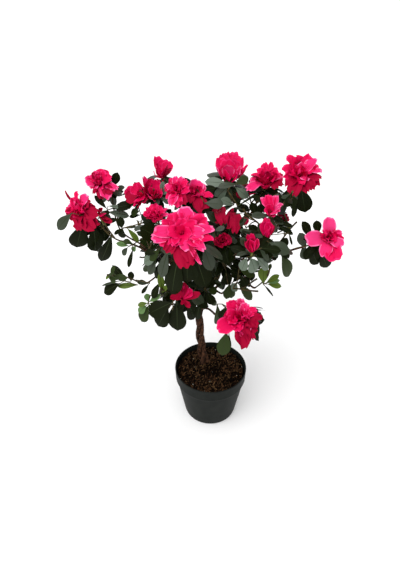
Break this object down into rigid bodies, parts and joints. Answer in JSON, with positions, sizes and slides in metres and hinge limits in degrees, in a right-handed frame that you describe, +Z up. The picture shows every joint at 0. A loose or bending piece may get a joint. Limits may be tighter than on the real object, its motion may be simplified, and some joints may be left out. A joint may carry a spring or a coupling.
{
  "type": "potted azalea shrub",
  "caption": "Small potted azalea with a twisted slender trunk, an open spreading crown of dark leaf whorls and double pink blooms, in a round plastic nursery pot.",
  "frame": {"origin": "middle of the pot's flat underside", "axes": "+Z up; -Y the side of the plant that the picture shows; +X to the right in the picture"},
  "size_m": [0.3752, 0.2926, 0.4632],
  "materials": {
    "pot": "satin",
    "soil": "matte",
    "bark": "matte",
    "foliage": "satin"
  },
  "bodies": {
    "root": {"bough_back_left": "bark", "bough_back_low": "bark", "bough_back_low_left": "bark", "bough_back_middle": "bark", "bough_back_right": "bark", "bough_far_left": "bark", "bough_far_right": "bark", "bough_far_right_top": "bark", "bough_front_low": "bark", "bough_front_low_left": "bark", "bough_front_low_right": "bark", "bough_front_top": "bark", "bough_inner_right": "bark", "bough_left_back": "bark", "bough_left_inner": "bark", "bough_left_low": "bark", "bough_left_middle": "bark", "bough_middle_left": "bark", "bough_middle_low": "bark", "bough_middle_right": "bark", "bough_right_back": "bark", "bough_right_front": "bark", "bough_right_low": "bark", "bough_right_top": "bark", "bough_top_back": "bark", "bough_top_middle": "bark", "bough_upper_left": "bark", "pot": "pot", "soil": "soil", "spray_back_left": "foliage", "spray_back_low": "foliage", "spray_back_low_left": "foliage", "spray_back_middle": "foliage", "spray_back_right": "foliage", "spray_far_left": "foliage", "spray_far_right": "foliage", "spray_far_right_top": "foliage", "spray_front_low": "foliage", "spray_front_low_left": "foliage", "spray_front_low_right": "foliage", "spray_front_top": "foliage", "spray_inner_right": "foliage", "spray_left_back": "foliage", "spray_left_inner": "foliage", "spray_left_low": "foliage", "spray_left_middle": "foliage", "spray_middle_left": "foliage", "spray_middle_low": "foliage", "spray_middle_right": "foliage", "spray_right_back": "foliage", "spray_right_front": "foliage", "spray_right_low": "foliage", "spray_right_top": "foliage", "spray_top_back": "foliage", "spray_top_middle": "foliage", "spray_upper_left": "foliage", "stem_1": "bark", "stem_2": "bark", "stem_3": "bark"}
  },
  "joints": []
}
